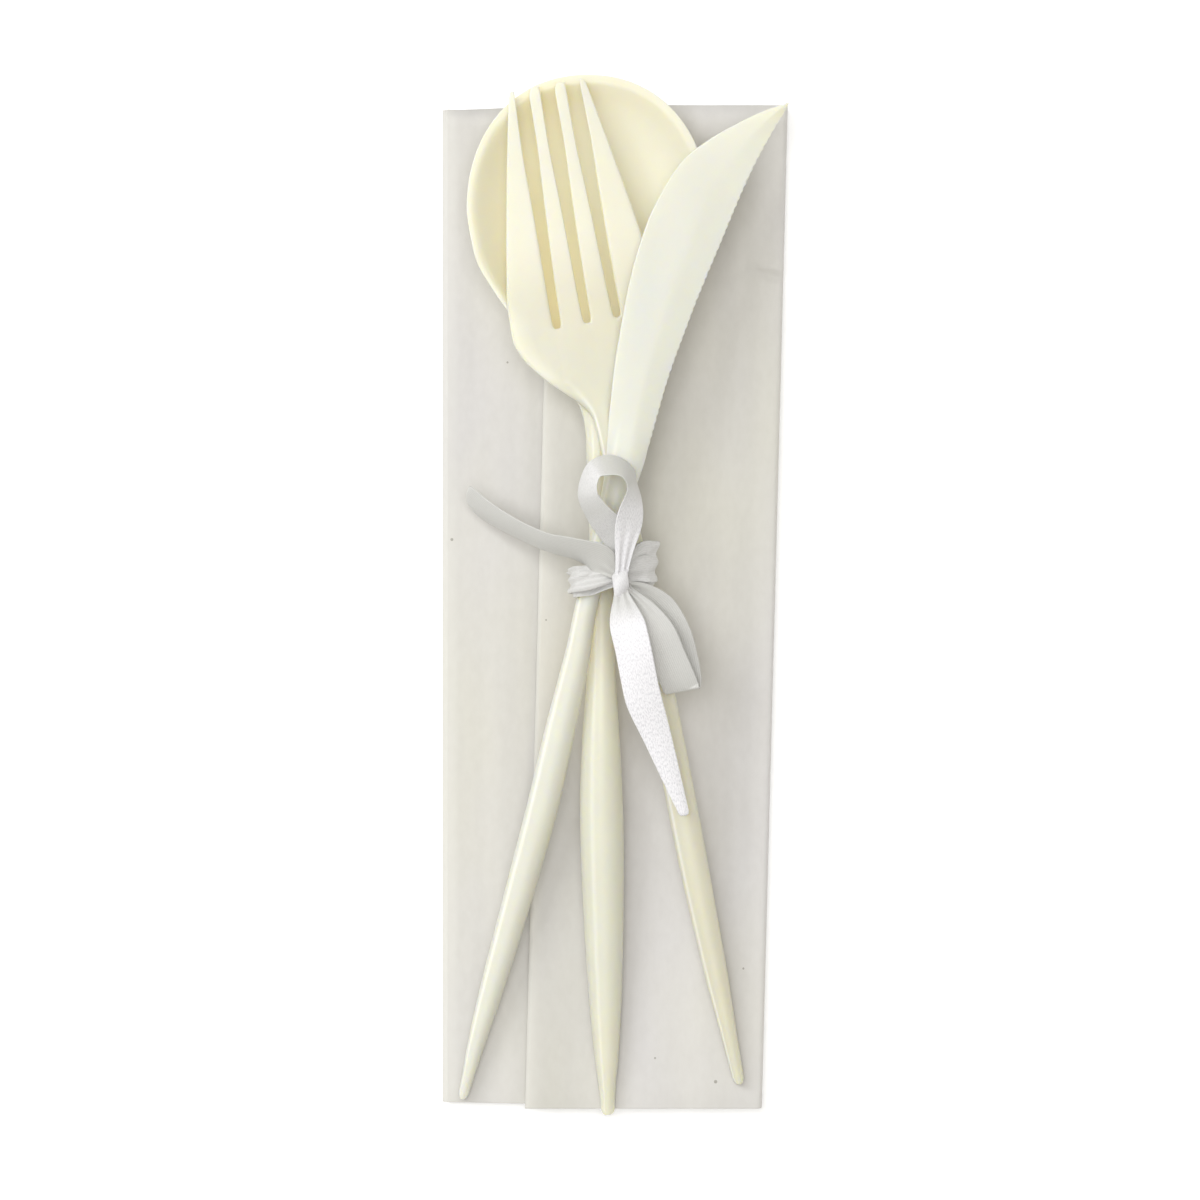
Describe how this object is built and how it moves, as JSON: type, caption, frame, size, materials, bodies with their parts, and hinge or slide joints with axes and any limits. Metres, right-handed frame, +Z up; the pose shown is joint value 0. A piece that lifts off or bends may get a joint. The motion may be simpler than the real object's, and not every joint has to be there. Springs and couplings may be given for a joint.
{
  "type": "plastic cutlery pack",
  "caption": "Disposable cutlery pack: moulded cream plastic spoon, fork and knife tied at the shanks with a white satin ribbon, lying on a folded paper napkin.",
  "frame": {"origin": "middle of the pack's footprint, on the underside of the napkin", "axes": "+Y along the pack towards the spoon's bowl, the fork's tines and the knife's blade; +X to the right as seen from above; +Z up, out of the napkin"},
  "size_m": [0.0572, 0.1714, 0.0224],
  "materials": {
    "napkin_tissue": "two-ply tissue, white, matte, softly creased",
    "spoon_plastic": "cream polystyrene, satin gloss, slightly translucent",
    "fork_plastic": "cream polystyrene, satin gloss, slightly translucent",
    "knife_plastic": "cream polystyrene, satin gloss, slightly translucent",
    "ribbon_satin": "white polyester satin ribbon with a bright face"
  },
  "bodies": {
    "root": {"napkin": "napkin_tissue", "spoon": "spoon_plastic", "fork": "fork_plastic", "knife": "knife_plastic", "ribbon": "ribbon_satin"}
  },
  "joints": []
}
